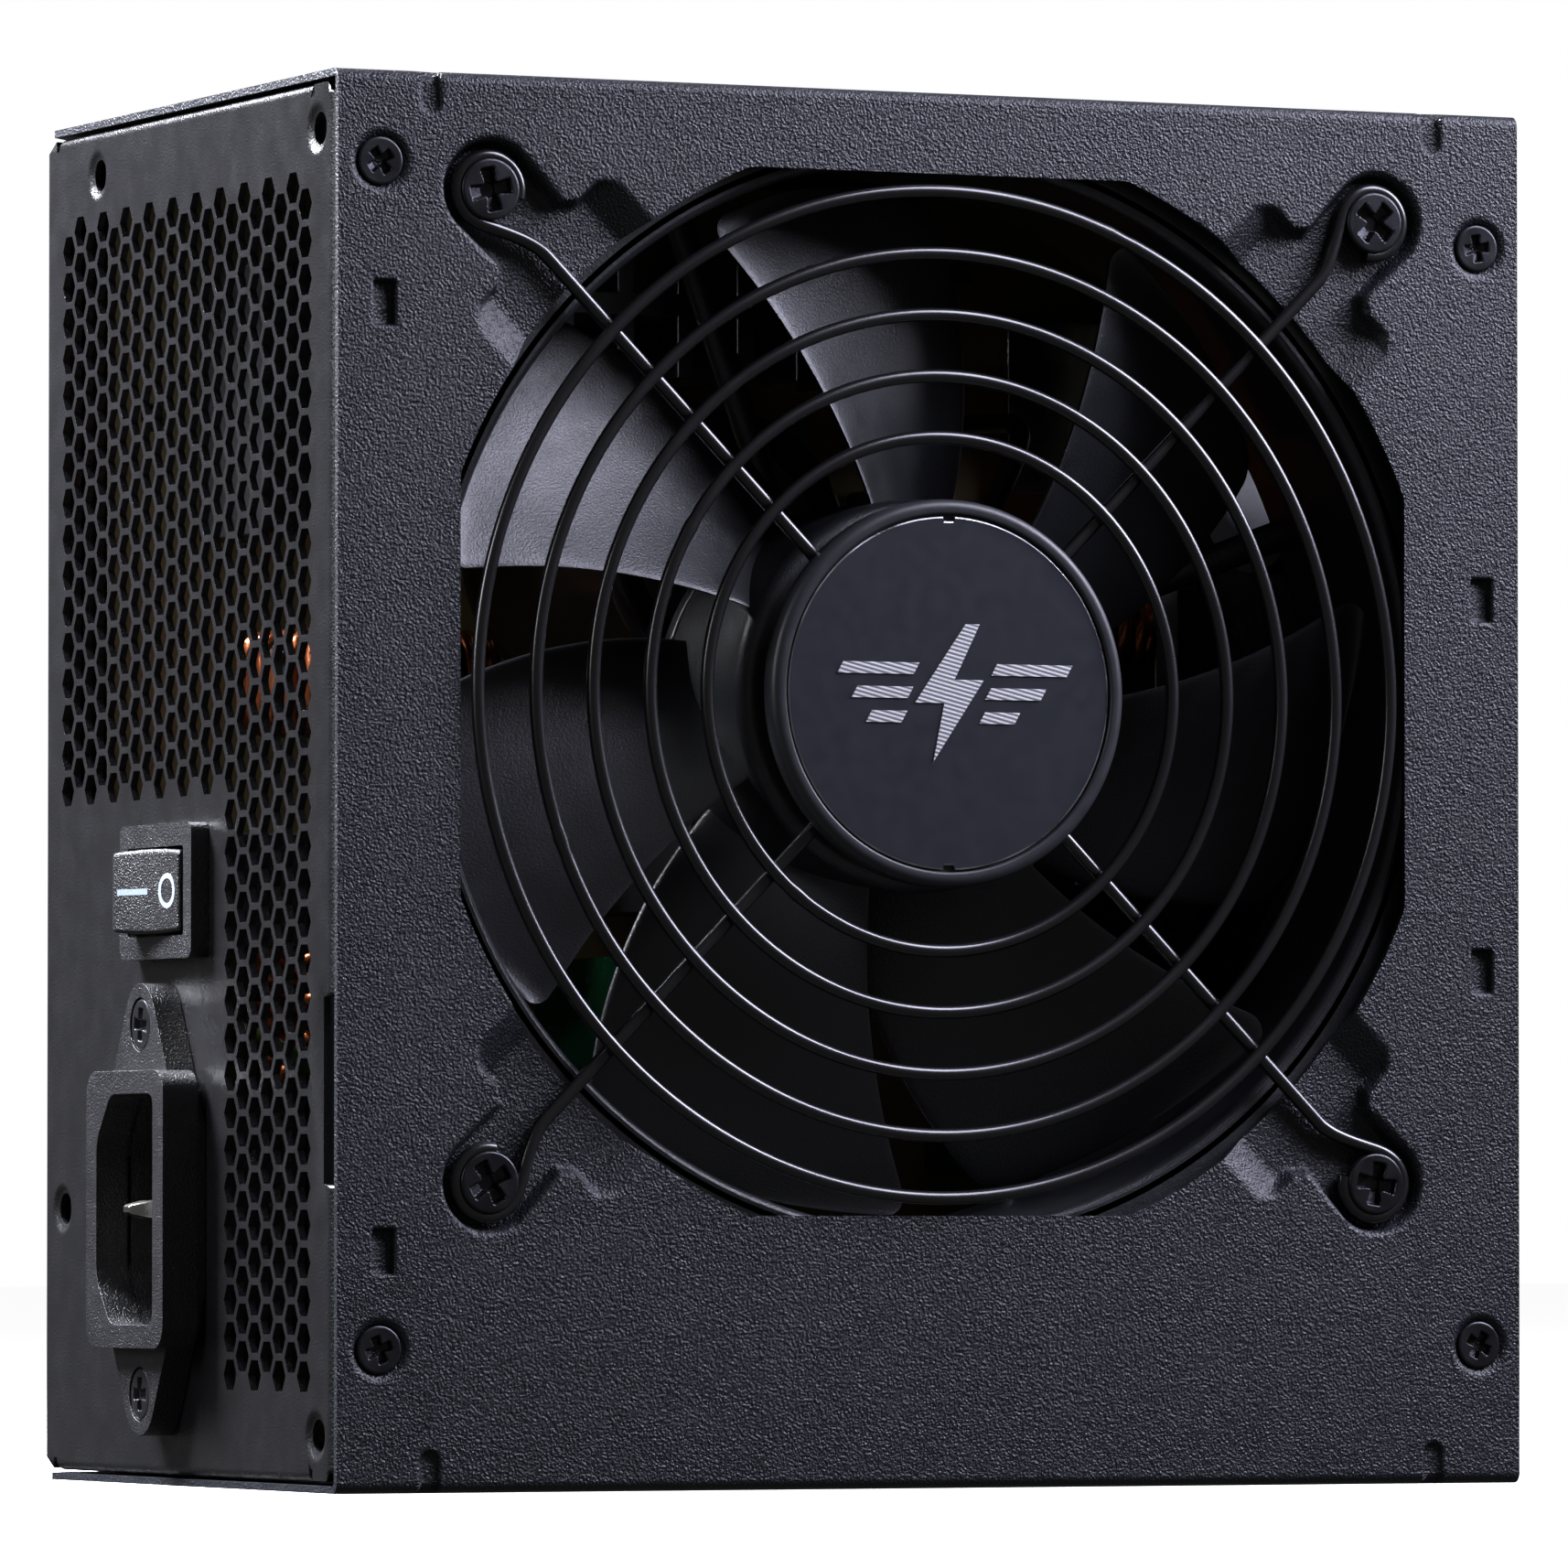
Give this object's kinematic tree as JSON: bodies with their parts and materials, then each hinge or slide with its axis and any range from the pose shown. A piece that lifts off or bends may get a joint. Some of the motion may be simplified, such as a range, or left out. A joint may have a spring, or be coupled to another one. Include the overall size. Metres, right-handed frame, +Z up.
{
  "type": "power supply unit",
  "caption": "Boxed computer power supply: folded steel case, wire-guarded fan, honeycomb mains panel with an inlet and a rocker switch.",
  "frame": {"origin": "middle of the narrow side that the unit stands on", "axes": "+X from the mains panel to the cable end, +Y from the fan side to the base sheet, +Z up"},
  "size_m": [0.1473, 0.0884, 0.15],
  "materials": {
    "black_powder_coat": "fine wrinkle powder coat on sheet steel",
    "coated_wire": "satin black coated steel wire",
    "black_plastic": "black moulded plastic, fine spark texture",
    "switch_plastic": "black moulded plastic, grained",
    "badge_metal": "satin dark printed disc with a bright cut edge",
    "black_screw": "black zinc plated",
    "tinned_metal": "tinned brass and copper",
    "steel": "plain turned steel",
    "circuit_board": "beige laminate",
    "green_coating": "green lacquer",
    "copper_winding": "enamelled copper wire",
    "aluminium": "extruded, plain",
    "dark_moulding": "black epoxy moulding",
    "capacitor_sleeve": "black shrink sleeve",
    "yellow_tape": "yellow polyester tape",
    "ferrite": "sintered, dull",
    "glass_tube": "clear glass",
    "rubber": "black, matt",
    "black_film": "thin polycarbonate film"
  },
  "bodies": {
    "case": {"chassis_tray": "black_powder_coat", "fan_side_cover": "black_powder_coat", "cover_screw_1": "black_screw", "cover_screw_2": "black_screw", "cover_screw_3": "black_screw", "cover_screw_4": "black_screw", "wire_fan_guard": "coated_wire", "guard_centre_cap": "black_plastic", "centre_badge_disc": "badge_metal", "fan_screw_1": "black_screw", "fan_screw_2": "black_screw", "fan_screw_3": "black_screw", "fan_screw_4": "black_screw", "fan_frame": "black_plastic", "fan_bearing_sleeve": "steel", "fan_stator": "copper_winding", "mains_inlet_housing": "black_plastic", "inlet_pin_earth": "tinned_metal", "inlet_pin_line": "tinned_metal", "inlet_pin_neutral": "tinned_metal", "inlet_screw_1": "black_screw", "inlet_screw_2": "black_screw", "switch_housing": "switch_plastic", "cable_outlet_bush": "rubber", "main_circuit_board": "circuit_board", "insulating_sheet": "black_film", "board_standoff_1": "steel", "board_standoff_2": "steel", "board_standoff_3": "steel", "board_standoff_4": "steel", "primary_heatsink": "aluminium", "secondary_heatsink": "aluminium", "bridge_rectifier": "dark_moulding", "power_transistor": "dark_moulding", "output_rectifier": "dark_moulding", "bulk_capacitor": "capacitor_sleeve", "boost_choke": "copper_winding", "filter_choke": "copper_winding", "output_choke": "copper_winding", "resonant_choke": "copper_winding", "suppression_capacitor": "yellow_tape", "mains_fuse": "glass_tube", "inrush_thermistor": "green_coating", "transformer_core": "ferrite", "transformer_winding": "yellow_tape", "standby_transformer": "yellow_tape", "control_board": "green_coating", "output_capacitor_1": "capacitor_sleeve", "output_capacitor_2": "capacitor_sleeve", "output_capacitor_3": "capacitor_sleeve", "output_capacitor_4": "capacitor_sleeve", "output_bus_bar": "tinned_metal", "line_lead": "rubber", "neutral_lead": "rubber", "earth_lead": "rubber", "fan_lead": "rubber"},
    "fan_rotor": {"fan_rotor": "black_plastic", "rotor_magnet_ring": "ferrite", "fan_shaft": "steel"},
    "switch_rocker": {"switch_rocker": "switch_plastic"}
  },
  "joints": [
    {"name": "fan_spin", "type": "hinge", "parent": "case", "child": "fan_rotor", "pos_m": [0, -0.0268, 0.0852], "axis": [0, 1, 0], "continuous": true},
    {"name": "rocker_tilt", "type": "hinge", "parent": "case", "child": "switch_rocker", "pos_m": [-0.069, 0.0038, 0.0643], "axis": [0, 0, -1], "range_deg": [0, 20]}
  ]
}
